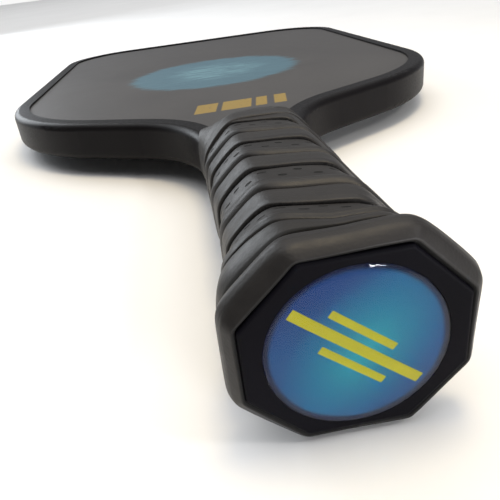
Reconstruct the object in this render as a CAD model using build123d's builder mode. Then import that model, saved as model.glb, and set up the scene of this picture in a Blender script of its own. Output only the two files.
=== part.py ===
"""Pickleball paddle: honeycomb panel with skins, edge guard, octagonal handle, butt cap and cushion grip.

Millimetres. The panel's mid-plane is the XY plane, +Y runs from the butt to the head, +Z is the front
face's normal, and the origin is the centre of the whole paddle's bounding box.
"""
import os

from build123d import *

# Overall size
LENGTH = 400.0  # badge dome to the top of the head
HEAD_WIDTH = 199.6  # over the edge guard
HEAD_THICKNESS = 14.0  # over the edge guard's lips

# Stations along the paddle, measured from the butt cap's end face
DOME_PROUD = 1.2  # badge dome beyond the cap's end face
THROAT_Y = 122.1  # corner where the neck's side meets the shoulder, before rounding
SHOULDER_Y = 169.0  # corner where the shoulder meets the head's side, before rounding
GUARD_START_Y = 103.0  # lower ends of the edge guard
PALLET_END_Y = 102.0  # upper end of the handle pallets
PALLET_SLOPE_Y = 89.0  # where the pallets start to slope down to the faces

# Head outline
NECK_HALF = 17.0
THROAT_RADIUS = 41.0
SHOULDER_RADIUS = 74.5
TOP_CORNER_RADIUS = 44.0

# Panel stack
CORE_THICKNESS = 11.0
FILM_THICKNESS = 0.15
SKIN_THICKNESS = 0.45
CELL_ACROSS = 8.0  # honeycomb cell, flat to flat
CELL_WALL = 0.8
CORE_RIM = 1.5  # sealed edge round the cells
TANG_HALF = 13.4  # panel's half width inside the handle
TANG_TIP_HALF = 11.9  # and inside the cap's skirt
TANG_TIP_Y = 5.0
TANG_START_Y = 24.4

# Edge guard
GUARD_WALL = 1.6
GUARD_LIP = 7.2  # lip's reach over the face, from the outer edge
GUARD_ROUND = 2.6
BOND_THICKNESS = 0.3

# Handle section: half width, half height and the half lengths of its top and side flats
HANDLE = (13.8, 13.5, 7.0, 6.3)
HANDLE_TOP = (14.8, 8.4, 12.2, 6.6)  # at the upper end of the slope

# Butt cap
CAP_FACE = (17.7, 15.9, 8.4, 6.5)
CAP_PLATE = 2.4
CAP_NECK_Y = 11.0  # where the cap's flare has come down to the handle's section
CAP_SKIRT_Y = 24.0
CAP_WALL = 1.4
CAP_EDGE_ROUND = 0.7
CAP_FIT = 0.1  # clearance between the skirt and the pallets
BADGE_RADIUS = 14.3
BADGE_RECESS = 0.8
FOIL_THICKNESS = 0.3
DOME_RIM = 0.75  # height of the dome's rim beyond the cap's end face, before rounding
DOME_ROUND = 0.85
STAPLE_Y = 18.5
STAPLE_WIDTH = 9.0
STAPLE_LEG = 6.0
STAPLE_WIRE = 0.7

# Grip
FELT_THICKNESS = 0.8
WRAP_THICKNESS = 1.5
WRAP_GAP = 0.1
WRAP_START_Y = 0.3
WRAP_END_Y = 102.0
ROLL = (19.9, 18.4, 9.7, 8.6)  # section of the roll round the butt, at its fullest
ROLL_Y = 3.6
ROLL_END_Y = 10.5
CORNER_ROUND = 2.5
COLLAR_THICKNESS = 0.6
COLLAR_START_Y = 79.0
COLLAR_LAP_Y = 102.1  # where the collar passes from the wrap onto the neck
COLLAR_SIDE_Y = 104.5  # the collar's end on the neck's sides
COLLAR_END_Y = 112.0  # the collar's end on the faces
COLLAR_HALF = 18.6
COLLAR_LAP_Z = 11.2
COLLAR_TIP_Z = (7.1, 8.0)
COLLAR_HOLE = (17.7, 7.1)

ALONG = (0, 1, 0)
# Y of the cap's end face in the part's frame
END = -LENGTH / 2 + DOME_PROUD
SKIN_Z = CORE_THICKNESS / 2 + FILM_THICKNESS
STACK_Z = SKIN_Z + SKIN_THICKNESS


def grown(section, amount):
    """Octagonal section offset outwards by the amount."""
    half_x, half_z, flat_x, flat_z = section
    flat_growth = 0.4142 * amount
    return half_x + amount, half_z + amount, flat_x + flat_growth, flat_z + flat_growth


def octagon(section, y, rounding=0.0):
    """Octagonal section across the paddle at a distance from the butt."""
    half_x, half_z, flat_x, flat_z = section
    with BuildSketch(Plane.XZ.offset(-(END + y)), mode=Mode.PRIVATE) as sketch:
        with BuildLine():
            Polyline(
                (flat_x, half_z), (half_x, flat_z), (half_x, -flat_z), (flat_x, -half_z),
                (-flat_x, -half_z), (-half_x, -flat_z), (-half_x, flat_z), (-flat_x, half_z),
                close=True,
            )
        make_face()
        if rounding > 0:
            fillet(sketch.vertices(), rounding)
    return sketch.sketch


def head_outline(inset, low_y):
    """Head and neck outline, inset from the guard's outer edge and closed straight across at low_y."""
    side = HEAD_WIDTH / 2
    with BuildSketch(mode=Mode.PRIVATE) as outline:
        with BuildLine():
            Polyline(
                (NECK_HALF, END), (NECK_HALF, END + THROAT_Y), (side, END + SHOULDER_Y), (side, LENGTH / 2),
                (-side, LENGTH / 2), (-side, END + SHOULDER_Y), (-NECK_HALF, END + THROAT_Y),
                (-NECK_HALF, END),
                close=True,
            )
        make_face()
        for corner_y, radius in [
            (END + THROAT_Y, THROAT_RADIUS),
            (END + SHOULDER_Y, SHOULDER_RADIUS),
            (LENGTH / 2, TOP_CORNER_RADIUS),
        ]:
            corners = outline.vertices().filter_by_position(Axis.Y, corner_y - 0.01, corner_y + 0.01)
            fillet(corners, radius)
        if inset > 0:
            offset(amount=-inset, mode=Mode.REPLACE)
        with Locations((0, END + low_y)):
            Rectangle(HEAD_WIDTH + 2, LENGTH, align=(Align.CENTER, Align.MIN), mode=Mode.INTERSECT)
    return outline.sketch


def panel_outline():
    """Outline shared by the core, films and skins: the head inside the guard, plus the handle tang."""
    with BuildSketch(mode=Mode.PRIVATE) as panel:
        add(head_outline(GUARD_WALL + BOND_THICKNESS, GUARD_START_Y))
        for half_width, low_y, high_y in [
            (TANG_TIP_HALF, TANG_TIP_Y, TANG_START_Y),
            (TANG_HALF, TANG_START_Y, GUARD_START_Y + 4),
        ]:
            with Locations((0, END + low_y)):
                Rectangle(2 * half_width, high_y - low_y, align=(Align.CENTER, Align.MIN))
    return panel.sketch


PANEL = panel_outline()
PANEL_RIM = PANEL.face().outer_wire()


def cell_centres():
    """Centres of the honeycomb cells that fit inside the core's rim."""
    pitch = CELL_ACROSS + CELL_WALL
    row_pitch = pitch * 0.8660254
    centres = []
    for row in range(-26, 27):
        for column in range(-12, 13):
            x = (column + 0.5 * (row % 2)) * pitch
            y = row * row_pitch
            inside = PANEL.face().is_inside((x, y, 0))
            if inside and PANEL_RIM.distance_to(Vertex(x, y, 0)) > CORE_RIM + CELL_ACROSS / 2:
                centres.append((x, y))
    return centres


# Honeycomb core: hexagonal cells run from skin to skin
with BuildPart() as honeycomb_core:
    with BuildSketch(Plane.XY.offset(-CORE_THICKNESS / 2)):
        add(PANEL)
        with Locations(*cell_centres()):
            RegularPolygon(CELL_ACROSS / 2, 6, major_radius=False, rotation=30, mode=Mode.SUBTRACT)
    extrude(amount=CORE_THICKNESS)
honeycomb_core.part.label = "honeycomb_core"

# Adhesive films between the core and the skins
with BuildPart() as film_front:
    with BuildSketch(Plane.XY.offset(CORE_THICKNESS / 2)):
        add(PANEL)
    extrude(amount=FILM_THICKNESS)
film_front.part.label = "film_front"

with BuildPart() as film_back:
    with BuildSketch(Plane.XY.offset(-SKIN_Z)):
        add(PANEL)
    extrude(amount=FILM_THICKNESS)
film_back.part.label = "film_back"

# Hitting skins
with BuildPart() as skin_front:
    with BuildSketch(Plane.XY.offset(SKIN_Z)):
        add(PANEL)
    extrude(amount=SKIN_THICKNESS)
skin_front.part.label = "skin_front"

with BuildPart() as skin_back:
    with BuildSketch(Plane.XY.offset(-STACK_Z)):
        add(PANEL)
    extrude(amount=SKIN_THICKNESS)
skin_back.part.label = "skin_back"

# Edge guard: a U channel that grips the panel's rim from one side of the throat to the other
with BuildPart() as edge_guard:
    with BuildSketch(Plane.XY.offset(-HEAD_THICKNESS / 2)):
        add(head_outline(0, GUARD_START_Y))
    extrude(amount=HEAD_THICKNESS)
    flats = edge_guard.faces().filter_by(Axis.Z)
    rims = flats.edges().filter_by(lambda edge: edge.center().Y > END + GUARD_START_Y + 0.1)
    fillet(rims, GUARD_ROUND)
    with BuildSketch(Plane.XY.offset(-HEAD_THICKNESS / 2)):
        add(head_outline(GUARD_LIP, GUARD_START_Y - 5))
    extrude(amount=HEAD_THICKNESS, mode=Mode.SUBTRACT)
    with BuildSketch(Plane.XY.offset(-STACK_Z)):
        add(head_outline(GUARD_WALL, GUARD_START_Y - 5))
    extrude(amount=2 * STACK_Z, mode=Mode.SUBTRACT)
edge_guard.part.label = "edge_guard"

# Bead of adhesive between the panel's rim and the guard's web
with BuildPart() as guard_bond:
    with BuildSketch(Plane.XY.offset(-STACK_Z)):
        add(head_outline(GUARD_WALL, GUARD_START_Y))
        add(head_outline(GUARD_WALL + BOND_THICKNESS, GUARD_START_Y - 5), mode=Mode.SUBTRACT)
    extrude(amount=2 * STACK_Z)
guard_bond.part.label = "guard_bond"

# Staples that pin the cap's skirt to the pallets, front and back
with BuildPart() as cap_staples:
    for side in (1, -1):
        with BuildSketch(Plane.XY.offset(side * HANDLE[1])):
            with Locations((0, END + STAPLE_Y)):
                Rectangle(STAPLE_WIDTH, STAPLE_WIRE)
        extrude(amount=-side * STAPLE_WIRE)
        with BuildSketch(Plane.XY.offset(side * HANDLE[1])):
            with Locations((0, END + STAPLE_Y)):
                with GridLocations(STAPLE_WIDTH - STAPLE_WIRE, 1, 2, 1):
                    Rectangle(STAPLE_WIRE, STAPLE_WIRE)
        extrude(amount=-side * STAPLE_LEG)
cap_staples.part.label = "cap_staples"


def handle_pallet(side):
    """Foam pallet bonded to one face of the tang: +1 is the front, -1 the back."""
    top_z = HANDLE[1]
    rebate = octagon(grown(HANDLE, 2), 0) - octagon(grown(HANDLE, -CAP_WALL - CAP_FIT), 0)
    with BuildPart(mode=Mode.PRIVATE) as pallet:
        with BuildSketch(Plane.YZ.offset(-HANDLE[0])):
            with BuildLine():
                Polyline(
                    (END + CAP_PLATE, side * STACK_Z), (END + CAP_PLATE, side * top_z),
                    (END + PALLET_SLOPE_Y, side * top_z), (END + PALLET_END_Y, side * HANDLE_TOP[1]),
                    (END + PALLET_END_Y, side * STACK_Z),
                    close=True,
                )
            make_face()
        extrude(amount=2 * HANDLE[0])
        extrude(octagon(HANDLE, 0), amount=PALLET_END_Y, dir=ALONG, mode=Mode.INTERSECT)
        # The cap's skirt slides over the rebated end
        extrude(rebate, amount=CAP_SKIRT_Y + CAP_FIT, dir=ALONG, mode=Mode.SUBTRACT)
        add(cap_staples.part, mode=Mode.SUBTRACT)
    return pallet


pallet_front = handle_pallet(1)
pallet_front.part.label = "pallet_front"
pallet_back = handle_pallet(-1)
pallet_back.part.label = "pallet_back"

# Butt cap: closed octagonal end, flared rim and a skirt over the pallets' ends
with BuildPart() as butt_cap:
    extrude(octagon(CAP_FACE, 0, 1.0), amount=CAP_PLATE, dir=ALONG)
    fillet(butt_cap.faces().sort_by(Axis.Y)[0].edges(), CAP_EDGE_ROUND)
    loft([octagon(CAP_FACE, CAP_PLATE, 1.0), octagon(HANDLE, CAP_NECK_Y, 1.0)])
    extrude(octagon(HANDLE, CAP_NECK_Y, 1.0), amount=CAP_SKIRT_Y - CAP_NECK_Y, dir=ALONG)
    bore = octagon(grown(HANDLE, -CAP_WALL), CAP_PLATE)
    extrude(bore, amount=CAP_SKIRT_Y, dir=ALONG, mode=Mode.SUBTRACT)
    with BuildSketch(Plane.XZ.offset(-END)):
        Circle(BADGE_RADIUS + CAP_FIT)
    extrude(amount=-BADGE_RECESS, mode=Mode.SUBTRACT)
    add(cap_staples.part, mode=Mode.SUBTRACT)
butt_cap.part.label = "butt_cap"

# Printed badge foil on the recess floor
with BuildPart() as badge_foil:
    with BuildSketch(Plane.XZ.offset(-END - BADGE_RECESS)):
        Circle(BADGE_RADIUS)
    extrude(amount=FOIL_THICKNESS)
badge_foil.part.label = "badge_foil"

# Clear domed resin over the foil
with BuildPart() as badge_dome:
    with BuildSketch(Plane.XY):
        with BuildLine():
            floor_y = END + BADGE_RECESS - FOIL_THICKNESS
            edge = Line((BADGE_RADIUS, floor_y), (BADGE_RADIUS, END - DOME_RIM))
            apex = (0, END - DOME_PROUD)
            dome = TangentArc(apex, edge @ 1, tangent=(1, 0))
            Polyline(apex, (0, floor_y), edge @ 0)
        make_face()
    revolve(axis=Axis.Y)
    dome_rim = badge_dome.edges().filter_by_position(Axis.Y, END - DOME_RIM - 0.01, END - DOME_RIM + 0.01)
    fillet(dome_rim, DOME_ROUND)
badge_dome.part.label = "badge_dome"


def slope_end(amount):
    """Section of the grip at the top of the handle's slope, offset outwards by the amount."""
    return grown(HANDLE_TOP, amount)


# Felt backing of the grip, from the cap's flare to the top of the handle
with BuildPart() as grip_felt:
    for amount, mode in [(WRAP_GAP + FELT_THICKNESS, Mode.ADD), (WRAP_GAP, Mode.SUBTRACT)]:
        sleeve = grown(HANDLE, amount)
        extrude(octagon(sleeve, CAP_NECK_Y), amount=PALLET_SLOPE_Y - CAP_NECK_Y, dir=ALONG, mode=mode)
        loft([octagon(sleeve, PALLET_SLOPE_Y), octagon(slope_end(amount), WRAP_END_Y)], mode=mode)
grip_felt.part.label = "grip_felt"

# Cushion wrap: a plain sleeve of the grip's outer size, with the roll round the butt
WRAP_INNER = 2 * WRAP_GAP + FELT_THICKNESS
WRAP_OUTER = WRAP_INNER + WRAP_THICKNESS
with BuildPart() as grip_wrap:
    sleeve = grown(HANDLE, WRAP_OUTER)
    loft([
        octagon(grown(CAP_FACE, 1.0), WRAP_START_Y, CORNER_ROUND),
        octagon(ROLL, ROLL_Y, CORNER_ROUND),
        octagon(sleeve, ROLL_END_Y, CORNER_ROUND),
    ])
    extrude(octagon(sleeve, ROLL_END_Y, CORNER_ROUND), amount=PALLET_SLOPE_Y - ROLL_END_Y, dir=ALONG)
    loft([
        octagon(sleeve, PALLET_SLOPE_Y, CORNER_ROUND),
        octagon(slope_end(WRAP_OUTER), WRAP_END_Y, CORNER_ROUND),
    ])
    # Bore that clears the cap, its flare and the felt
    rim = grown(CAP_FACE, WRAP_GAP)
    bore = grown(HANDLE, WRAP_INNER)
    extrude(octagon(rim, 0), amount=CAP_PLATE, dir=ALONG, mode=Mode.SUBTRACT)
    loft([octagon(rim, CAP_PLATE), octagon(bore, CAP_NECK_Y)], mode=Mode.SUBTRACT)
    extrude(octagon(bore, CAP_NECK_Y), amount=PALLET_SLOPE_Y - CAP_NECK_Y, dir=ALONG, mode=Mode.SUBTRACT)
    loft([octagon(bore, PALLET_SLOPE_Y), octagon(slope_end(WRAP_INNER), WRAP_END_Y)], mode=Mode.SUBTRACT)
grip_wrap.part.label = "grip_wrap"

# Finishing collar: elastic tape over the wrap's end that laps onto the guard's lips on both faces
with BuildPart() as grip_collar:
    with BuildSketch(Plane.YZ.offset(-COLLAR_HALF)):
        with BuildLine():
            Polyline(
                (END + COLLAR_SIDE_Y, 0), (END + COLLAR_SIDE_Y, STACK_Z),
                (END + COLLAR_END_Y, COLLAR_TIP_Z[0]), (END + COLLAR_END_Y, COLLAR_TIP_Z[1]),
                (END + COLLAR_LAP_Y, COLLAR_LAP_Z), (END + COLLAR_LAP_Y, 0),
            )
            mirror(about=Plane.XZ)
        make_face()
    extrude(amount=2 * COLLAR_HALF)
    with BuildSketch(Plane.XZ.offset(-END)):
        RectangleRounded(2 * COLLAR_HALF, 2 * COLLAR_LAP_Z, 4.0)
    extrude(amount=-COLLAR_END_Y, mode=Mode.INTERSECT)
    with BuildSketch(Plane.XZ.offset(-END)):
        Rectangle(2 * COLLAR_HOLE[0], 2 * COLLAR_HOLE[1])
    extrude(amount=-LENGTH / 2, mode=Mode.SUBTRACT)
    # The stretch that is wound over the wrap
    for amount, mode in [
        (WRAP_OUTER + WRAP_GAP + COLLAR_THICKNESS, Mode.ADD),
        (WRAP_OUTER + WRAP_GAP, Mode.SUBTRACT),
    ]:
        sleeve = octagon(grown(HANDLE, amount), COLLAR_START_Y, CORNER_ROUND)
        extrude(sleeve, amount=PALLET_SLOPE_Y - COLLAR_START_Y, dir=ALONG, mode=mode)
        shoulder = octagon(grown(HANDLE, amount), PALLET_SLOPE_Y, CORNER_ROUND)
        loft([shoulder, octagon(slope_end(amount), COLLAR_LAP_Y, CORNER_ROUND)], mode=mode)
grip_collar.part.label = "grip_collar"

os.makedirs("parts", exist_ok=True)
for node in [
    honeycomb_core, film_front, film_back, skin_front, skin_back, edge_guard, guard_bond,
    cap_staples, pallet_front, pallet_back, butt_cap, badge_foil, badge_dome,
    grip_felt, grip_wrap, grip_collar,
]:
    export_step(node.part, f"parts/{node.part.label}.step")
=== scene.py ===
import math

import bmesh
import bpy
import numpy as np
from mathutils import Matrix, Vector


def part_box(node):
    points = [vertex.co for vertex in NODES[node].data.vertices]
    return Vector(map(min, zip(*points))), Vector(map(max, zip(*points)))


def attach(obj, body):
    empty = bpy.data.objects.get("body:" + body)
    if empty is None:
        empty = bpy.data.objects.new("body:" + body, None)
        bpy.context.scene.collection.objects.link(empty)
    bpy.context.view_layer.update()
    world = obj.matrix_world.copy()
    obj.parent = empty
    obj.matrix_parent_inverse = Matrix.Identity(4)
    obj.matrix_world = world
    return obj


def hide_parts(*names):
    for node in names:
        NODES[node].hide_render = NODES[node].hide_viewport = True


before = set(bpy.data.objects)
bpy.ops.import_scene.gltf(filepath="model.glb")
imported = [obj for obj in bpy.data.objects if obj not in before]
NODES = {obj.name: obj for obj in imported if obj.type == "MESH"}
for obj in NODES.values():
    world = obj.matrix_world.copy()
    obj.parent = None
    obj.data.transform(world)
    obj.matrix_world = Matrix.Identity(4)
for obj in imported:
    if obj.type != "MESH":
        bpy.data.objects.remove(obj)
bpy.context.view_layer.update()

BODY = "paddle"
MM = 0.001

# ---------------------------------------------------------------- places, all from the CAD boxes
CAP_LOW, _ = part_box("butt_cap")
FOIL_LOW, FOIL_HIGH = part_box("badge_foil")
_, GUARD_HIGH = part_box("edge_guard")
COLLAR_LOW, COLLAR_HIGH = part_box("grip_collar")
END = CAP_LOW.y  # plane of the cap's end face
LIP_Z = GUARD_HIGH.z

# ---------------------------------------------------------------- node helpers


class Mat:
    """Small wrapper round a node tree, to keep the materials readable."""

    def __init__(self, name):
        self.mat = bpy.data.materials.new(name)
        self.mat.use_nodes = True
        self.tree = self.mat.node_tree
        self.tree.nodes.clear()
        self.out = self.add("ShaderNodeOutputMaterial")
        self.bsdf = self.add("ShaderNodeBsdfPrincipled")
        self.link(self.bsdf.outputs[0], self.out.inputs["Surface"])

    def add(self, kind, **settings):
        node = self.tree.nodes.new(kind)
        for key, value in settings.items():
            setattr(node, key, value)
        return node

    def link(self, a, b):
        self.tree.links.new(a, b)

    def put(self, socket, value):
        """A number, a colour or another node's output goes into the socket."""
        if isinstance(value, bpy.types.NodeSocket):
            self.link(value, socket)
        else:
            socket.default_value = value

    def set(self, **values):
        for key, value in values.items():
            self.put(self.bsdf.inputs[key.replace("_", " ")], value)

    def coords(self):
        return self.add("ShaderNodeTexCoord").outputs["Object"]

    def split(self, vector):
        node = self.add("ShaderNodeSeparateXYZ")
        self.link(vector, node.inputs[0])
        return node.outputs

    def join(self, x, y, z):
        node = self.add("ShaderNodeCombineXYZ")
        for socket, value in zip(node.inputs, (x, y, z)):
            self.put(socket, value)
        return node.outputs[0]

    def math(self, operation, a, b=0.0):
        node = self.add("ShaderNodeMath", operation=operation)
        self.put(node.inputs[0], a)
        self.put(node.inputs[1], b)
        return node.outputs[0]

    def noise(self, vector, scale, detail, roughness):
        node = self.add("ShaderNodeTexNoise")
        self.put(node.inputs["Vector"], vector)
        self.put(node.inputs["Scale"], scale)
        self.put(node.inputs["Detail"], detail)
        self.put(node.inputs["Roughness"], roughness)
        return node.outputs["Fac"]

    def cells(self, vector, scale):
        """Distance to the nearest point of a random scatter."""
        node = self.add("ShaderNodeTexVoronoi", feature="F1")
        self.put(node.inputs["Vector"], vector)
        self.put(node.inputs["Scale"], scale)
        return node.outputs["Distance"]

    def ramp(self, value, stops):
        """Colour ramp; stops are (position, colour) pairs."""
        node = self.add("ShaderNodeValToRGB")
        ramp = node.color_ramp
        ramp.interpolation = "LINEAR"
        while len(ramp.elements) < len(stops):
            ramp.elements.new(1.0)
        for element, (position, colour) in zip(ramp.elements, stops):
            element.position = position
            element.color = (*colour, 1.0)
        self.put(node.inputs[0], value)
        return node.outputs[0]

    def span(self, value, low, high, to_low=0.0, to_high=1.0, smooth=False):
        """Value mapped from one range onto another, held at the ends."""
        kind = "SMOOTHSTEP" if smooth else "LINEAR"
        node = self.add("ShaderNodeMapRange", interpolation_type=kind)
        for socket, number in zip(node.inputs, (value, low, high, to_low, to_high)):
            self.put(socket, number)
        return node.outputs[0]

    def mix(self, factor, a, b):
        node = self.add("ShaderNodeMix", data_type="RGBA")
        self.put(node.inputs["Factor"], factor)
        for name, value in (("A", a), ("B", b)):
            socket = [s for s in node.inputs if s.name == name and s.type == "RGBA"][0]
            self.put(socket, (*value, 1.0) if isinstance(value, tuple) else value)
        return [s for s in node.outputs if s.type == "RGBA"][0]

    def bump(self, height, distance, strength=1.0, under=None):
        node = self.add("ShaderNodeBump")
        self.put(node.inputs["Height"], height)
        node.inputs["Distance"].default_value = distance
        node.inputs["Strength"].default_value = strength
        if under is not None:
            self.link(under, node.inputs["Normal"])
        return node.outputs[0]


# ---------------------------------------------------------------- grip shape
# Distances in the grip code are in millimetres; y is measured from the cap's end face.
PITCH = 19.6  # one turn of the tape
FIRST_SEAM = 7.0  # where the roll round the butt ends, on top of the grip
SECOND_SEAM = 18.2
COLLAR_Y = (COLLAR_LOW.y - END) / MM
COLLAR_TOP_Y = (COLLAR_HIGH.y - END) / MM
WRAP_TOP_Y = COLLAR_Y + 6.0
SLOPE_Y = 89.0  # where the handle starts to slope down to the faces
FACE_Y = 102.0  # where the slope meets the faces
CREASE = 0.374  # where in a turn the crease lies
HOLE_PITCH = 6.755
HOLE_ROWS = ((0.725, 0.0), (0.845, 0.5))  # where in a turn each row lies, and its offset along the tape
TAPE_RADIUS = 17.2  # turns an angle into a length along the tape

# Sections: half width, half height, half lengths of the top and side flats
TUBE = (15.75, 15.8, 7.9, 6.9)
NECK_START = (17.2, 10.6, 12.6, 6.6)
NECK_END = (19.7, 7.25, 17.5, 5.6)
ROLL = [
    (0.00, (17.95, 16.15, 8.5, 6.6)),
    (0.05, (18.3, 16.6, 8.7, 6.9)),
    (0.18, (18.9, 17.3, 9.1, 7.5)),
    (0.35, (19.5, 17.9, 9.5, 8.1)),
    (0.55, (19.8, 18.1, 9.7, 8.4)),
    (0.75, (19.6, 17.8, 9.6, 8.2)),
    (0.90, (19.1, 17.3, 9.3, 7.9)),
    (1.00, (18.6, 16.9, 9.0, 7.7)),
]
# Height of one turn of tape above the handle, from its lower edge (0) to the next turn's edge (1)
TURN = [
    (0.000, -1.40), (0.009, -1.30), (0.016, 0.55), (0.032, 0.82), (0.09, 1.02), (0.24, 1.05), (0.33, 0.92),
    (0.358, 0.72), (0.366, 0.05), (0.380, 0.05), (0.390, 0.50), (0.410, 0.85), (0.450, 1.22), (0.495, 1.36),
    (0.55, 1.12), (0.61, 0.66), (0.66, 0.54), (0.70, 0.58), (0.84, 0.56), (0.94, 0.50), (0.974, 0.40),
    (0.986, -1.20), (1.000, -1.40),
]
# How far the seams lean along the handle, besides the spiral itself, at degrees from the top flat
LEAN = [(0, 0.0), (15, 0.2), (22, 0.6), (33, 2.4), (45, 3.4), (65, 4.0), (90, 4.2), (130, 2.5), (180, 0.0)]


def table(points, smooth, count=2048, periodic=False):
    """Smoothed lookup table over 0 to 1."""
    t = np.linspace(0, 1, count, endpoint=not periodic)
    values = np.interp(t, [p[0] for p in points], [p[1] for p in points])
    reach = int(4 * smooth * count)
    kernel = np.exp(-0.5 * (np.arange(-reach, reach + 1) / (smooth * count)) ** 2)
    padded = np.pad(values, reach, mode="wrap" if periodic else "edge")
    return np.convolve(padded, kernel / kernel.sum(), mode="valid")


TURN_TABLE = table(TURN, 0.0025, periodic=True)
LEAN_TABLE = table([(a / 180, b) for a, b in LEAN], 0.02)
ROLL_TABLES = [table([(s, sec[k]) for s, sec in ROLL], 0.03) for k in range(4)]


def look_up(values, t):
    return np.interp(t, np.linspace(0, 1, len(values)), values)


def octagon_radius(angle, section, sharpness):
    """Distance from the axis to a rounded octagon, at an angle from +Z towards +X."""
    half_x, half_z, flat_x, flat_z = section
    normal_x = half_z - flat_z
    normal_z = half_x - flat_x
    length = np.hypot(normal_x, normal_z)
    normal_x, normal_z = normal_x / length, normal_z / length
    diagonal = normal_x * half_x + normal_z * flat_z
    total = 0.0
    for nx, nz, reach in (
        (1, 0, half_x), (-1, 0, half_x), (0, 1, half_z), (0, -1, half_z),
        (normal_x, normal_z, diagonal), (-normal_x, normal_z, diagonal),
        (normal_x, -normal_z, diagonal), (-normal_x, -normal_z, diagonal),
    ):
        total = total + (np.clip(np.sin(angle) * nx + np.cos(angle) * nz, 1e-9, None) / reach) ** sharpness
    return total ** (-1.0 / sharpness)


def seam_shift(angle):
    """How far a seam moves along the handle as it goes round, from the top flat."""
    lean = np.sign(angle) * look_up(LEAN_TABLE, np.clip(np.abs(angle) / math.pi, 0, 1))
    return -PITCH * angle / (2 * math.pi) - np.where(np.abs(angle) > math.pi, 0, lean)


def ripple(angle, y):
    """Slow unevenness of a hand-wound grip."""
    return (
        0.10 * np.sin(3 * angle + 0.21 * y) + 0.07 * np.sin(5 * angle - 0.33 * y + 1.1)
        + 0.05 * np.sin(2 * angle + 0.9 * y + 0.4)
    )


def section_at(y):
    """Section under the tape at distances y."""
    low = np.clip((y - SLOPE_Y) / (FACE_Y - SLOPE_Y), 0, 1)
    high = np.clip((y - FACE_Y) / 10.0, 0, 1)
    return [
        a + (b - a) * low + (c - b) * high
        for a, b, c in zip(TUBE, NECK_START, NECK_END)
    ]


def wrap_surface(angle, y):
    """Radius of the wrap, and its turn count, at angles and distances from the butt."""
    cut = 1.0 - np.clip((math.pi - np.abs(angle)) / 0.35, 0, 1)
    side = np.sign(angle)
    results = []
    for turned in (angle, angle - side * 2 * math.pi):
        shift = seam_shift(turned)
        first = FIRST_SEAM + np.where(turned < 0, 0.05, 0.10) * shift
        second = SECOND_SEAM + np.clip((y - 4) / 16, 0.5, 1) * shift
        turns = (y - second) / PITCH
        below = turns < 0
        share = np.clip((y - first) / np.maximum(second - first, 2.0), 0, 1)
        split = 0.34 + 0.20 * np.clip(-1.4 * np.sin(angle), 0, 1)
        late = CREASE + (share - split) / (1 - split) * (1 - CREASE)
        opening = np.where(share < split, share / split * CREASE, late)
        t = np.where(below, opening, turns - np.floor(turns))
        height = look_up(TURN_TABLE, t)
        # The first turn is stretched flatter where it leaves the roll
        flat = 0.55 * below * np.exp(-(((t - 0.45) / 0.09) ** 2))
        height = height + (0.55 - height) * flat
        # On the right the turns are rounder, with open notches between them
        round_side = 0.65 * np.clip((np.sin(angle) - 0.35) / 0.4, 0, 1)
        height = height * (1 - round_side) + round_side * (2.1 * np.sin(math.pi * t) - 1.0)
        lean_over = np.clip((t - 0.010) / 0.003, 0, 1) * np.clip((0.12 - t) / 0.09, 0, 1)
        grow = 1.0 + 0.10 * np.sin(angle * 2 + turns * 1.7)
        # The tape sags towards the next edge: most where it leaves the roll, and down the sides
        sag = np.clip((t - 0.50) / 0.50, 0, 1) ** 1.5
        sides = 0.15 * np.clip(-np.sin(angle), 0, 1) + 0.5 * np.clip(np.sin(angle), 0, 1)
        sag = sag * (0.08 + 0.60 * np.exp(-np.clip(turns + 1, 0, 9) * 1.3) + sides)
        full = 2.0 * np.clip(-np.sin(angle), 0, 1) ** 1.2 * np.exp(-(((y - 14.5) / 7.0) ** 2))
        full = full + 1.4 * np.clip(-np.sin(angle), 0, 1) ** 4 * np.exp(-(((y - 11) / 5.0) ** 2))
        full = full + 1.3 * np.exp(-(((angle - 1.05) / 0.65) ** 2) - ((y - 9) / 6.0) ** 2)
        tube = octagon_radius(turned, section_at(y), 22.0) + height * grow - sag + full
        s = np.clip(y / first, 0, 1)
        roll_section = [look_up(values, s) for values in ROLL_TABLES]
        roll = octagon_radius(turned, roll_section, 30.0 + 60.0 * np.clip(1 - s * 3, 0, 1))
        swell = 0.5 * np.clip(-np.sin(angle), 0, 1) + 0.9 * np.exp(-(((angle - 0.85) / 0.6) ** 2))
        roll = roll + swell * np.clip(s * 4, 0, 1)
        groove = np.clip((y - first - 0.60) / 0.5, 0, 1)
        inner = tube * groove + (octagon_radius(turned, TUBE, 26.0) - 2.2 + 0.6 * full) * (1 - groove)
        edge = np.clip((first - y) / 0.45, 0, 1)
        edge = edge * edge * (3 - 2 * edge)
        radius = np.where(y < first, inner + (roll - inner) * edge, inner)
        count = np.where(below, np.where(y < first, -1.55 + 0.48 * s, opening - 1.0), turns)
        results.append((radius, count, np.where(y < first + 0.3, 0.0, lean_over)))
    (near, near_count, near_lean), (far, far_count, far_lean) = results
    blend = 0.5 * cut * cut * (3 - 2 * cut)
    lean_over = (near_lean * (1 - blend) + far_lean * blend) * np.clip((WRAP_TOP_Y - 1 - y) / 2, 0, 1)
    return near * (1 - blend) + far * blend + ripple(angle, y), near_count, 0.5 * lean_over


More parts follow.
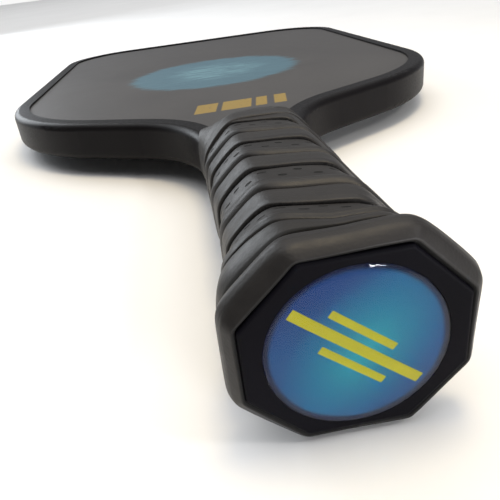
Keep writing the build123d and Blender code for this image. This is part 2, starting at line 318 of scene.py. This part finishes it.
def grid_mesh(name, xs, ys, zs, uv):
    """Mesh from rings of points: arrays of shape (rings, columns), joined round each ring."""
    rings, columns = xs.shape
    points = np.stack([xs, ys, zs], -1).reshape(-1, 3)
    ring, column = np.meshgrid(np.arange(rings - 1), np.arange(columns), indexing="ij")
    after = (column + 1) % columns
    faces = np.stack(
        [ring * columns + column, ring * columns + after, (ring + 1) * columns + after,
         (ring + 1) * columns + column], -1,
    ).reshape(-1, 4)
    mesh = bpy.data.meshes.new(name)
    mesh.from_pydata(points.tolist(), [], faces.tolist())
    layer = mesh.uv_layers.new(name="tape")
    u, v = uv
    wrap = np.where(after == 0, u[0, -1] + (u[0, 1] - u[0, 0]), 0.0)
    corners = []
    for r, c, fix in ((ring, column, 0), (ring, after, 1), (ring + 1, after, 1), (ring + 1, column, 0)):
        uu = u[r, c]
        vv = v[r, c]
        if fix:
            uu = np.where(after == 0, wrap, uu)
            vv = np.where(after == 0, v[r, column] + (v[r, column] - v[r, column - 1]), vv)
        corners.append(np.stack([uu, vv], -1))
    layer.data.foreach_set("uv", np.stack(corners, -2).reshape(-1))
    for polygon in mesh.polygons:
        polygon.use_smooth = True
    mesh.update()
    obj = bpy.data.objects.new(name, mesh)
    bpy.context.scene.collection.objects.link(obj)
    return obj


COLUMNS = 320
ANGLES = -math.pi + (np.arange(COLUMNS) + 0.5) * 2 * math.pi / COLUMNS


def make_wrap():
    ys = np.linspace(0.25, WRAP_TOP_Y, 620)
    angle, y = np.meshgrid(ANGLES, ys)
    radius, count, lean_over = wrap_surface(angle, y)
    y = y - lean_over
    # Two rings tuck the roll's front edge in behind the cap's rim; the tube stays open at both ends
    tuck = np.stack([radius[0] - 1.2, radius[0] - 0.35])
    radius = np.concatenate([tuck, radius])
    y = np.concatenate([[np.full(COLUMNS, 1.6), np.full(COLUMNS, 0.35)], y])
    angle = np.concatenate([angle[:2], angle])
    count = np.concatenate([count[:2] - 0.02, count])
    u = (angle + math.pi) * TAPE_RADIUS
    return grid_mesh(
        "grip_wrap_tape", radius * np.sin(angle) * MM, END + y * MM, radius * np.cos(angle) * MM, (u, count)
    )


def make_collar():
    """Tape over the wrap's end that arches up onto both faces of the neck."""
    rows = 110
    end_radius = octagon_radius(ANGLES, NECK_END, 26.0)
    end_x = end_radius * np.sin(ANGLES)
    on_face = np.clip((np.abs(end_radius * np.cos(ANGLES)) - 5.2) / 1.6, 0, 1)
    arch = 1 - np.clip(np.abs(end_x) / 18.6, 0, 1) ** 2.4
    end_y = 102.8 + (COLLAR_TOP_Y - 102.8) * arch * on_face
    s = np.linspace(0, 1, rows)[:, None]
    y = COLLAR_Y + s * (end_y[None, :] - COLLAR_Y)
    tilt = 1.6 * np.sin(-ANGLES)[None, :] * (1 - s)
    y = y + tilt
    angle = np.broadcast_to(ANGLES[None, :], y.shape)
    radius = octagon_radius(angle, section_at(y), 14.0)
    # Two laps of tape show as soft steps, and the lower edge stands over the wrap
    lap = 0.80 + 0.35 * (1 / (1 + np.exp((s - 0.25) * 90))) + 0.30 * (1 / (1 + np.exp((s - 0.55) * 90)))
    radius = radius + lap * (1 - 0.45 * s) + 0.5 * ripple(angle, y)
    radius[0] -= 1.3
    radius[1] -= 0.35
    radius[-2] -= 0.06
    radius[-1] -= 0.45
    u = (angle + math.pi) * TAPE_RADIUS
    return grid_mesh(
        "grip_collar_tape", radius * np.sin(angle) * MM, END + y * MM, radius * np.cos(angle) * MM,
        (u, 20 + s * 2 + 0 * angle),
    )


def make_dome():
    """Clear resin lens turned about the handle's axis: flat back just clear of the foil, rounded rim."""
    radius = (FOIL_HIGH.x - FOIL_LOW.x) / 2 / MM
    back = (FOIL_LOW.y - END) / MM - 0.04
    profile = [(r, back) for r in np.linspace(0, radius - 0.15, 12)]
    edge = radius - 0.05
    profile += [(edge, back - 0.1)]
    for share in np.linspace(1, 0, 44) ** 0.6:
        profile.append((edge * share, -0.05 - 1.10 * (1 - share ** 5)))
    columns = 128
    angles = np.arange(columns) * 2 * math.pi / columns
    points = []
    faces = []
    for index, (r, y) in enumerate(profile):
        for angle in angles:
            points.append((r * math.sin(angle) * MM, END + y * MM, r * math.cos(angle) * MM))
        if index:
            low = (index - 1) * columns
            for c in range(columns):
                after = (c + 1) % columns
                faces.append((low + c, low + columns + c, low + columns + after, low + after))
    mesh = bpy.data.meshes.new("badge_lens")
    mesh.from_pydata(points, [], faces)
    for polygon in mesh.polygons:
        polygon.use_smooth = True
    shape = bmesh.new()
    shape.from_mesh(mesh)
    bmesh.ops.remove_doubles(shape, verts=shape.verts, dist=1e-7)
    bmesh.ops.recalc_face_normals(shape, faces=shape.faces)
    shape.to_mesh(mesh)
    shape.free()
    mesh.set_sharp_from_angle(angle=math.radians(35))
    obj = bpy.data.objects.new("badge_lens", mesh)
    bpy.context.scene.collection.objects.link(obj)
    obj.visible_shadow = False
    return obj


wrap = make_wrap()
collar = make_collar()
lens = make_dome()
for piece, node, slot in (
    (wrap, "grip_wrap", "wrap"), (collar, "grip_collar", "collar"), (lens, "badge_dome", "badge_resin"),
):
    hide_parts(node)
    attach(piece, BODY)

# ---------------------------------------------------------------- materials


def leather_base(m, where, tint):
    """Shared look of the synthetic leather: fine grain, uneven gloss and a little dust."""
    grain = m.cells(where, 1900.0)
    fine = m.noise(where, 5200.0, 3.0, 0.6)
    cloud = m.noise(where, 60.0, 5.0, 0.6)
    smear = m.noise(where, 240.0, 4.0, 0.65)
    dark = tuple(c * 0.72 for c in tint)
    light = tuple(min(1.0, c * 1.30) for c in tint)
    colour = m.ramp(cloud, [(0.30, dark), (0.52, tint), (0.72, light)])
    speck = m.cells(where, 230.0)
    keep = m.noise(where, 95.0, 2.0, 0.5)
    dust = m.math("MULTIPLY", m.span(speck, 0.05, 0.11, 1.0, 0.0), m.span(keep, 0.60, 0.66))
    colour = m.mix(m.math("MULTIPLY", dust, 0.55), colour, (0.35, 0.34, 0.33))
    roughness = m.math("ADD", m.span(smear, 0.3, 0.7, 0.40, 0.54), m.math("MULTIPLY", dust, 0.2))
    normal = m.bump(grain, 0.00006, 0.35)
    normal = m.bump(fine, 0.00003, 0.35, normal)
    return colour, roughness, normal


def wrap_material():
    m = Mat("wrap_synthetic_leather")
    where = m.coords()
    colour, roughness, normal = leather_base(m, where, (0.0165, 0.0150, 0.0148))
    uv = m.add("ShaderNodeUVMap", uv_map="tape").outputs[0]
    u, v, _ = m.split(uv)
    turn = m.math("FRACT", m.math("ADD", v, 10.0))
    holes = None
    for t, offset in HOLE_ROWS:
        du = m.math("SUBTRACT", m.math("FRACT", m.math("ADD", m.math("DIVIDE", u, HOLE_PITCH), offset)), 0.5)
        du = m.math("DIVIDE", m.math("MULTIPLY", du, HOLE_PITCH), 0.90)
        dv = m.math("DIVIDE", m.math("MULTIPLY", m.math("SUBTRACT", turn, t), PITCH), 0.50)
        reach = m.math("ADD", m.math("POWER", m.math("ABSOLUTE", du), 2.4), m.math("MULTIPLY", dv, dv))
        hole = m.span(reach, 0.55, 1.15, 1.0, 0.0, smooth=True)
        holes = hole if holes is None else m.math("MAXIMUM", holes, hole)
    # No holes on the roll
    holes = m.math("MULTIPLY", holes, m.span(v, -0.99, -0.97))
    # Painted shade in the seams and creases: near-black where the tape's overlapping edges and the creases
    # lie in shadow
    seam = m.math("MINIMUM", turn, m.math("SUBTRACT", 1.0, turn))
    crease = m.math("ABSOLUTE", m.math("SUBTRACT", turn, CREASE))
    in_crease = m.span(crease, 0.008, 0.018, 0.9, 0.0, True)
    painted_seam_shade = m.math("MAXIMUM", m.span(seam, 0.012, 0.024, 1.0, 0.0, True), in_crease)
    # Painted shade also at the first edge, in the roll's shadow, and at the roll's front edge, in the
    # shadowed gap against the cap
    for rise, fall in (((-1.085, -1.070), (-0.90, -0.87)), ((-1.60, -1.58), (-1.542, -1.532))):
        strip = m.math("MULTIPLY", m.span(v, *rise), m.span(v, *fall, 1.0, 0.0, True))
        painted_seam_shade = m.math("MAXIMUM", painted_seam_shade, strip)
    # The pads between are rubbed lighter
    pad = m.span(m.math("ABSOLUTE", m.math("SUBTRACT", turn, 0.24)), 0.10, 0.17, 1.0, 0.0, True)
    colour = m.mix(m.math("MULTIPLY", pad, 0.25), colour, (0.023, 0.0215, 0.021))
    # Seams, creases and the roll's edges are painted near-black as shade
    colour = m.mix(m.math("MULTIPLY", painted_seam_shade, 0.85), colour, (0.003, 0.003, 0.003))
    # The holes are only a bump, so their near-black colour is painted shade inside them
    colour = m.mix(holes, colour, (0.0015, 0.0015, 0.0015))
    normal = m.bump(m.math("SUBTRACT", 1.0, holes), 0.0012, 1.0, normal)
    rough = m.math("ADD", roughness, m.math("MULTIPLY", m.math("MAXIMUM", painted_seam_shade, holes), 0.35))
    m.set(Base_Color=colour, Roughness=rough, Normal=normal)
    m.set(Specular_IOR_Level=0.26, Sheen_Weight=0.02, Sheen_Roughness=0.4)
    return m.mat


def collar_material():
    m = Mat("collar_tape")
    where = m.coords()
    colour, roughness, normal = leather_base(m, where, (0.020, 0.0185, 0.0185))
    m.set(Base_Color=colour, Roughness=roughness, Normal=normal, Specular_IOR_Level=0.26)
    m.set(Sheen_Weight=0.02, Sheen_Roughness=0.4)
    return m.mat


def moulded(name, tint, rough, grain_scale=1500.0, grain_depth=0.00003, scratch=0.4, specular=0.5):
    """Moulded or extruded plastic: fine spark texture, faint flow marks and scuffs."""
    m = Mat(name)
    where = m.coords()
    spark = m.noise(where, grain_scale, 3.0, 0.6)
    cloud = m.noise(where, 30.0, 4.0, 0.6)
    x, y, z = m.split(where)
    scuffs = m.noise(m.join(m.math("MULTIPLY", x, 900.0), m.math("MULTIPLY", y, 60.0),
                            m.math("MULTIPLY", z, 900.0)), 1.0, 3.0, 0.7)
    scuff = m.math("MULTIPLY", m.span(scuffs, 0.66, 0.74), scratch)
    dark = tuple(c * 0.80 for c in tint)
    light = tuple(min(1.0, c * 1.22) for c in tint)
    colour = m.ramp(cloud, [(0.32, dark), (0.50, tint), (0.70, light)])
    colour = m.mix(m.math("MULTIPLY", scuff, 0.35), colour, tuple(c * 2.2 + 0.01 for c in tint))
    gloss = m.span(spark, 0.3, 0.7, rough - 0.05, rough + 0.06)
    roughness = m.math("ADD", gloss, m.math("MULTIPLY", scuff, 0.15))
    normal = m.bump(spark, grain_depth, 0.5)
    m.set(Base_Color=colour, Roughness=roughness, Normal=normal, Specular_IOR_Level=specular)
    return m


def skin_material(name, front):
    """Matte painted face with a fine grit texture, a soft-edged printed disc and plain slanted bars."""
    m = Mat(name)
    where = m.coords()
    x, y, z = m.split(where)
    grit = m.noise(where, 2600.0, 3.0, 0.7)
    cloud = m.noise(where, 22.0, 5.0, 0.6)
    colour = m.ramp(cloud, [(0.30, (0.039, 0.037, 0.038)), (0.70, (0.051, 0.049, 0.050))])
    # Printed disc: brushed blue with a feathered edge
    centre_y = END + 0.2345
    dx = m.math("SUBTRACT", x, -0.001)
    dy = m.math("SUBTRACT", y, centre_y)
    brush = m.noise(m.join(m.math("MULTIPLY", x, 60.0), m.math("MULTIPLY", y, 420.0), 0.0), 1.0, 5.0, 0.7)
    radius = m.math("SQRT", m.math("ADD", m.math("MULTIPLY", dx, dx), m.math("MULTIPLY", dy, dy)))
    radius = m.math("ADD", radius, m.math("MULTIPLY", m.math("SUBTRACT", brush, 0.5), 0.016))
    disc = m.span(radius, 0.041, 0.047, 1.0, 0.0, True)
    hub = m.span(radius, 0.012, 0.030, 0.0, 1.0, True)
    blue = m.mix(hub, (0.13, 0.27, 0.33), (0.062, 0.145, 0.195))
    blue = m.mix(m.span(brush, 0.40, 0.62), blue, (0.048, 0.118, 0.168))
    colour = m.mix(m.math("MULTIPLY", disc, 0.90), colour, blue)
    if front:
        # Plain slanted bars near the throat
        lean = m.math("MULTIPLY", m.math("SUBTRACT", y, END + 0.1465), -0.16)
        across = m.math("ADD", x, lean)
        bar = None
        for middle, half in ((-0.0115, 0.0042), (0.0005, 0.0058), (0.0103, 0.0022), (0.0178, 0.0024)):
            away = m.math("ABSOLUTE", m.math("SUBTRACT", across, middle))
            one = m.span(away, half - 0.0002, half + 0.0002, 1.0, 0.0)
            bar = one if bar is None else m.math("MAXIMUM", bar, one)
        height = m.math("ABSOLUTE", m.math("SUBTRACT", y, END + 0.1465))
        bar = m.math("MULTIPLY", bar, m.span(height, 0.0072, 0.0075, 1.0, 0.0))
        worn = m.span(m.noise(where, 900.0, 4.0, 0.7), 0.28, 0.40)
        colour = m.mix(m.math("MULTIPLY", bar, m.math("MULTIPLY", worn, 0.95)), colour, (0.26, 0.175, 0.034))
    rough = m.span(cloud, 0.3, 0.7, 0.52, 0.62)
    normal = m.bump(grit, 0.00005, 0.6)
    m.set(Base_Color=colour, Roughness=rough, Normal=normal, Specular_IOR_Level=0.5)
    return m.mat


def badge_material():
    """Printed foil: blue to teal glow with three plain diagonal stripes."""
    m = Mat("badge_print")
    x, y, z = m.split(m.coords())
    # Coordinates turned so that "along" follows the stripes, from upper left to lower right
    turn = math.radians(-39.5)
    along = m.math("ADD", m.math("MULTIPLY", x, math.cos(turn)), m.math("MULTIPLY", z, math.sin(turn)))
    across = m.math("SUBTRACT", m.math("MULTIPLY", z, math.cos(turn)), m.math("MULTIPLY", x, math.sin(turn)))
    ca = m.math("DIVIDE", m.math("SUBTRACT", along, 0.0012), 0.0105)
    cb = m.math("DIVIDE", across, 0.0165)
    glow = m.math("SQRT", m.math("ADD", m.math("MULTIPLY", ca, ca), m.math("MULTIPLY", cb, cb)))
    mottle = m.noise(m.join(x, y, z), 700.0, 3.0, 0.6)
    glow = m.math("ADD", glow, m.math("MULTIPLY", m.math("SUBTRACT", mottle, 0.5), 0.10))
    colour = m.ramp(glow, [(0.0, (0.004, 0.158, 0.188)), (0.45, (0.002, 0.092, 0.148)),
                           (0.85, (0.001, 0.050, 0.120)), (1.0, (0.001, 0.034, 0.104))])
    rim = m.math("SQRT", m.math("ADD", m.math("MULTIPLY", x, x), m.math("MULTIPLY", z, z)))
    corner = m.span(m.math("ADD", m.math("MULTIPLY", x, -0.6), z), 0.007, 0.016, 0.0, 0.75, True)
    colour = m.mix(corner, colour, (0.001, 0.012, 0.075))
    # Dark navy ring round the foil's edge: painted shade standing in for the lens's dark steep rim
    colour = m.mix(m.span(rim, 0.0129, 0.0138, 0.0, 1.0, True), colour, (0.0005, 0.002, 0.016))
    stripes = None
    for offset, half_length, half_width, shift in (
        (0.0, 0.0125, 0.00085, 0.0), (0.0029, 0.0062, 0.00060, -0.0012), (-0.0029, 0.0062, 0.00060, 0.0012),
    ):
        side = m.math("ABSOLUTE", m.math("SUBTRACT", across, offset))
        reach = m.math("ABSOLUTE", m.math("SUBTRACT", along, shift))
        stripe = m.math("MULTIPLY", m.span(side, half_width, half_width + 0.00012, 1.0, 0.0),
                        m.span(reach, half_length, half_length + 0.00012, 1.0, 0.0))
        stripes = stripe if stripes is None else m.math("MAXIMUM", stripes, stripe)
    colour = m.mix(stripes, colour, (0.245, 0.220, 0.004))
    grain = m.noise(m.join(x, y, z), 4000.0, 2.0, 0.5)
    m.set(Base_Color=colour, Roughness=m.span(grain, 0.3, 0.7, 0.42, 0.52), Specular_IOR_Level=0.1)
    return m.mat


def dome_material():
    m = Mat("badge_resin")
    where = m.coords()
    haze = m.noise(where, 500.0, 3.0, 0.6)
    normal = m.bump(m.noise(where, 90.0, 1.0, 0.4), 0.000005, 0.1)
    m.set(Base_Color=(0.97, 0.985, 1.0, 1.0), Roughness=m.span(haze, 0.45, 0.8, 0.01, 0.03), Normal=normal)
    m.set(Transmission_Weight=1.0, IOR=1.21)
    return m.mat


def paint(node, material):
    """Gives a CAD node its material."""
    mesh = NODES[node].data
    mesh.materials.clear()
    mesh.materials.append(material)


def foam(name, tint):
    m = Mat(name)
    where = m.coords()
    pores = m.cells(where, 900.0)
    colour = m.mix(m.span(pores, 0.1, 0.5), tuple(c * 0.7 for c in tint), tint)
    m.set(Base_Color=colour, Roughness=m.span(pores, 0.0, 0.6, 0.75, 0.9), Normal=m.bump(pores, 0.0001, 0.6))
    return m.mat


wrap.data.materials.append(wrap_material())
collar.data.materials.append(collar_material())
paint("skin_front", skin_material("front_skin_paint", True))
paint("skin_back", skin_material("back_skin_paint", False))
paint("edge_guard", moulded("guard_satin", (0.0050, 0.0042, 0.0050), 0.42, 1100.0, 0.00002, 0.3, 0.12).mat)
paint("butt_cap", moulded("cap_moulded", (0.0030, 0.0028, 0.0046), 0.50, 1700.0, 0.00004, 0.25, 0.05).mat)
paint("badge_foil", badge_material())
lens.data.materials.append(dome_material())
paint("cap_staples", moulded("staple_wire", (0.55, 0.55, 0.56), 0.35).mat)
cured = moulded("cured_adhesive", (0.62, 0.58, 0.45), 0.4, 300.0).mat
for node in ("film_front", "film_back", "guard_bond"):
    paint(node, cured)
paint("honeycomb_core", moulded("honeycomb_polymer", (0.70, 0.71, 0.72), 0.42).mat)
for node in ("pallet_front", "pallet_back"):
    paint(node, foam("pallet_foam", (0.66, 0.62, 0.48)))
paint("grip_felt", foam("felt", (0.035, 0.035, 0.037)))

# ---------------------------------------------------------------- floor, lights and camera


def make_floor():
    """Pale floor laid from the roll round the butt to the head's far edge."""
    low_y = END + 0.004
    low_z = min((wrap.matrix_world @ v.co).z for v in wrap.data.vertices)
    far_y = GUARD_HIGH.y - 0.004
    slope = math.atan2(-LIP_Z - low_z, far_y - low_y)
    size = 2.4
    mesh = bpy.data.meshes.new("floor")
    points = [(-size, -size, 0), (size, -size, 0), (size, size, 0), (-size, size, 0)]
    mesh.from_pydata(points, [], [(0, 1, 2, 3)])
    floor = bpy.data.objects.new("floor", mesh)
    bpy.context.scene.collection.objects.link(floor)
    floor.location = (0, low_y, low_z - 0.00005)
    floor.rotation_euler = (slope, 0, 0)
    m = Mat("floor_paper")
    fibre = m.noise(m.coords(), 9.0, 6.0, 0.6)
    m.set(Base_Color=m.ramp(fibre, [(0.3, (0.86, 0.86, 0.86)), (0.7, (0.90, 0.90, 0.90))]), Roughness=0.9,
          Specular_IOR_Level=0.1)
    mesh.materials.append(m.mat)


def area_light(name, place, target, size, power, colour):
    light = bpy.data.lights.new(name, "AREA")
    light.shape = "RECTANGLE"
    light.size, light.size_y = size
    light.energy = power
    light.color = colour
    obj = bpy.data.objects.new(name, light)
    obj.location = place
    obj.rotation_euler = (Vector(target) - Vector(place)).to_track_quat("-Z", "Y").to_euler()
    bpy.context.scene.collection.objects.link(obj)


def make_world():
    """Soft studio surround: pale to the camera, dimmer in front of the butt than behind the head."""
    world = bpy.data.worlds.new("studio")
    bpy.context.scene.world = world
    world.use_nodes = True
    tree = world.node_tree
    tree.nodes.clear()
    out = tree.nodes.new("ShaderNodeOutputWorld")
    where = tree.nodes.new("ShaderNodeTexCoord")
    split = tree.nodes.new("ShaderNodeSeparateXYZ")
    tree.links.new(where.outputs["Generated"], split.inputs[0])
    ramp = tree.nodes.new("ShaderNodeMapRange")
    for socket, value in zip(ramp.inputs[1:5], (-0.3, 0.7, 0.08, 0.34)):
        socket.default_value = value
    tree.links.new(split.outputs[1], ramp.inputs[0])
    surround = tree.nodes.new("ShaderNodeBackground")
    surround.inputs["Color"].default_value = (0.95, 0.97, 1.0, 1.0)
    tree.links.new(ramp.outputs[0], surround.inputs["Strength"])
    backdrop = tree.nodes.new("ShaderNodeBackground")
    backdrop.inputs["Color"].default_value = (0.95, 0.95, 0.95, 1.0)
    rays = tree.nodes.new("ShaderNodeLightPath")
    mix = tree.nodes.new("ShaderNodeMixShader")
    tree.links.new(rays.outputs["Is Camera Ray"], mix.inputs[0])
    tree.links.new(surround.outputs[0], mix.inputs[1])
    tree.links.new(backdrop.outputs[0], mix.inputs[2])
    tree.links.new(mix.outputs[0], out.inputs["Surface"])


def make_camera():
    camera = bpy.data.cameras.new("camera")
    camera.sensor_width = 36.0
    camera.lens = 37.33
    camera.clip_start = 0.01
    camera.clip_end = 60.0
    obj = bpy.data.objects.new("camera", camera)
    right = Vector((0.98296, -0.14301, -0.11546))
    down = Vector((-0.16867, -0.45231, -0.87577))
    forward = Vector((0.07302, 0.88032, -0.46873))
    rotation = Matrix((right, -down, -forward)).transposed().to_4x4()
    obj.matrix_world = Matrix.Translation((-0.018896, END - 0.058614, 0.050578)) @ rotation
    bpy.context.scene.collection.objects.link(obj)
    bpy.context.scene.camera = obj


make_floor()
make_world()
GRIP_MIDDLE = (0, END + 0.05, 0)
area_light("key_left", (-0.48, END + 0.72, 0.26), GRIP_MIDDLE, (0.40, 0.40), 2.9, (0.90, 0.95, 1.0))
area_light("warm_top", (0.05, END + 0.06, 0.50), GRIP_MIDDLE, (0.14, 0.14), 0.95, (1.0, 0.80, 0.48))
area_light("window_right", (0.315, END - 0.50, 0.085), (0, END, 0.012), (0.22, 0.05), 2.6, (0.97, 0.98, 1.0))
area_light("right_front", (0.36, END - 0.20, 0.38), (0, END + 0.01, 0), (0.07, 0.07), 0.6, (1.0, 0.98, 0.95))
area_light("soft_top", (0.0, 0.5, 2.4), (0, 0.5, 0), (3.6, 3.6), 66.0, (1.0, 1.0, 1.0))
make_camera()
bpy.context.scene.view_settings.view_transform = "Standard"

bpy.context.view_layer.update()
